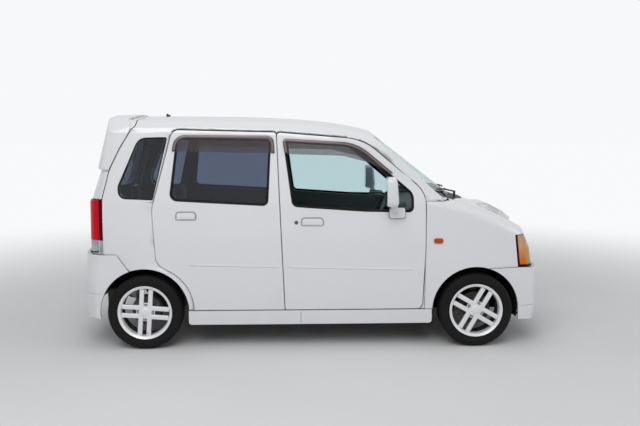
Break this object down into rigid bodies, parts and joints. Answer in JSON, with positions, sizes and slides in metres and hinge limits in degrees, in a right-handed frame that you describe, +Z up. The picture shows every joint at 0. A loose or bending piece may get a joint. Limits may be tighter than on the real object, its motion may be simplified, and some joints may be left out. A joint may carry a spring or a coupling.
{
  "type": "kei car",
  "caption": "Small tall hatchback car with hinged doors, tailgate and bonnet, steered front wheels, roof spoiler, bonnet scoop and alloy wheels.",
  "frame": {"origin": "on the ground, at the middle of the car's length and width", "axes": "+X towards the front of the car, +Y to its left, +Z up"},
  "size_m": [3.395, 1.788, 1.672],
  "materials": {
    "body_paint": "gloss",
    "dark_metal": "matte",
    "inner_trim": "matte",
    "floor_carpet": "matte",
    "black_plastic": "matte",
    "door_glass": "gloss",
    "privacy_glass": "gloss",
    "screen_glass": "gloss",
    "lamp_lens": "gloss",
    "amber_lens": "gloss",
    "red_lens": "gloss",
    "seat_cloth": "matte",
    "tyre_rubber": "matte",
    "wheel_alloy": "satin",
    "steel": "satin",
    "cast_metal": "matte"
  },
  "bodies": {
    "body": {"floor_pan": "floor_carpet", "side_frame_right": "body_paint", "side_frame_left": "body_paint", "roof_panel": "body_paint", "bulkhead": "black_plastic", "front_wings": "body_paint", "front_bumper": "body_paint", "rear_bumper": "body_paint", "side_skirts": "body_paint", "fixed_glass": "screen_glass", "headlamps": "lamp_lens", "turn_lamps": "amber_lens", "tail_lamps": "red_lens", "grille": "body_paint", "front_frame": "dark_metal", "wheel_housings": "black_plastic", "engine_block": "cast_metal", "dashboard": "inner_trim", "steering_wheel": "black_plastic", "front_seat_right": "seat_cloth", "front_seat_left": "seat_cloth", "rear_seat": "seat_cloth", "front_suspension": "dark_metal", "rear_axle": "dark_metal", "fuel_tank": "dark_metal", "exhaust": "steel", "wipers": "black_plastic", "hinges": "steel"},
    "door_front_right": {"door_front_right": "body_paint", "glazing_front_right": "door_glass"},
    "door_rear_right": {"door_rear_right": "body_paint", "glazing_rear_right": "privacy_glass"},
    "door_front_left": {"door_front_left": "body_paint", "glazing_front_left": "door_glass"},
    "door_rear_left": {"door_rear_left": "body_paint", "glazing_rear_left": "privacy_glass"},
    "tailgate": {"tailgate": "body_paint", "tailgate_glass": "privacy_glass", "roof_spoiler": "body_paint"},
    "bonnet": {"bonnet": "body_paint"},
    "knuckle_right": {"knuckle_right": "cast_metal"},
    "knuckle_left": {"knuckle_left": "cast_metal"},
    "wheel_front_right": {"rim_front_right": "wheel_alloy", "tyre_front_right": "tyre_rubber"},
    "wheel_front_left": {"rim_front_left": "wheel_alloy", "tyre_front_left": "tyre_rubber"},
    "wheel_rear_right": {"rim_rear_right": "wheel_alloy", "tyre_rear_right": "tyre_rubber"},
    "wheel_rear_left": {"rim_rear_left": "wheel_alloy", "tyre_rear_left": "tyre_rubber"}
  },
  "joints": [
    {"name": "door_front_right_swing", "type": "hinge", "parent": "body", "child": "door_front_right", "pos_m": [0.742, -0.7171, 0.5], "axis": [0, 0, 1], "range_deg": [0, 65]},
    {"name": "door_rear_right_swing", "type": "hinge", "parent": "body", "child": "door_rear_right", "pos_m": [-0.2692, -0.7235, 0.5], "axis": [-0.0454, 0, 0.999], "range_deg": [0, 70]},
    {"name": "door_front_left_swing", "type": "hinge", "parent": "body", "child": "door_front_left", "pos_m": [0.742, 0.7171, 0.5], "axis": [0, 0, -1], "range_deg": [0, 65]},
    {"name": "door_rear_left_swing", "type": "hinge", "parent": "body", "child": "door_rear_left", "pos_m": [-0.2692, 0.7235, 0.5], "axis": [0.0454, 0, -0.999], "range_deg": [0, 70]},
    {"name": "tailgate_lift", "type": "hinge", "parent": "body", "child": "tailgate", "pos_m": [-1.308, 0, 1.612], "axis": [0, 1, 0], "range_deg": [0, 75]},
    {"name": "bonnet_lift", "type": "hinge", "parent": "body", "child": "bonnet", "pos_m": [0.985, 0, 1.044], "axis": [0, -1, 0], "range_deg": [0, 50]},
    {"name": "steer_right", "type": "hinge", "parent": "body", "child": "knuckle_right", "pos_m": [1.1625, -0.6, 0.265], "axis": [0, 0, 1], "range_deg": [-36, 36]},
    {"name": "steer_left", "type": "hinge", "parent": "body", "child": "knuckle_left", "pos_m": [1.1625, 0.6, 0.265], "axis": [0, 0, 1], "range_deg": [-36, 36]},
    {"name": "wheel_front_right_spin", "type": "hinge", "parent": "knuckle_right", "child": "wheel_front_right", "pos_m": [1.1625, -0.65, 0.265], "axis": [0, 1, 0], "continuous": true},
    {"name": "wheel_front_left_spin", "type": "hinge", "parent": "knuckle_left", "child": "wheel_front_left", "pos_m": [1.1625, 0.65, 0.265], "axis": [0, 1, 0], "continuous": true},
    {"name": "wheel_rear_right_spin", "type": "hinge", "parent": "body", "child": "wheel_rear_right", "pos_m": [-1.1975, -0.65, 0.265], "axis": [0, 1, 0], "continuous": true},
    {"name": "wheel_rear_left_spin", "type": "hinge", "parent": "body", "child": "wheel_rear_left", "pos_m": [-1.1975, 0.65, 0.265], "axis": [0, 1, 0], "continuous": true}
  ],
  "couplings": [
    {"joint": "steer_left", "follows": "steer_right", "ratio": 1}
  ]
}
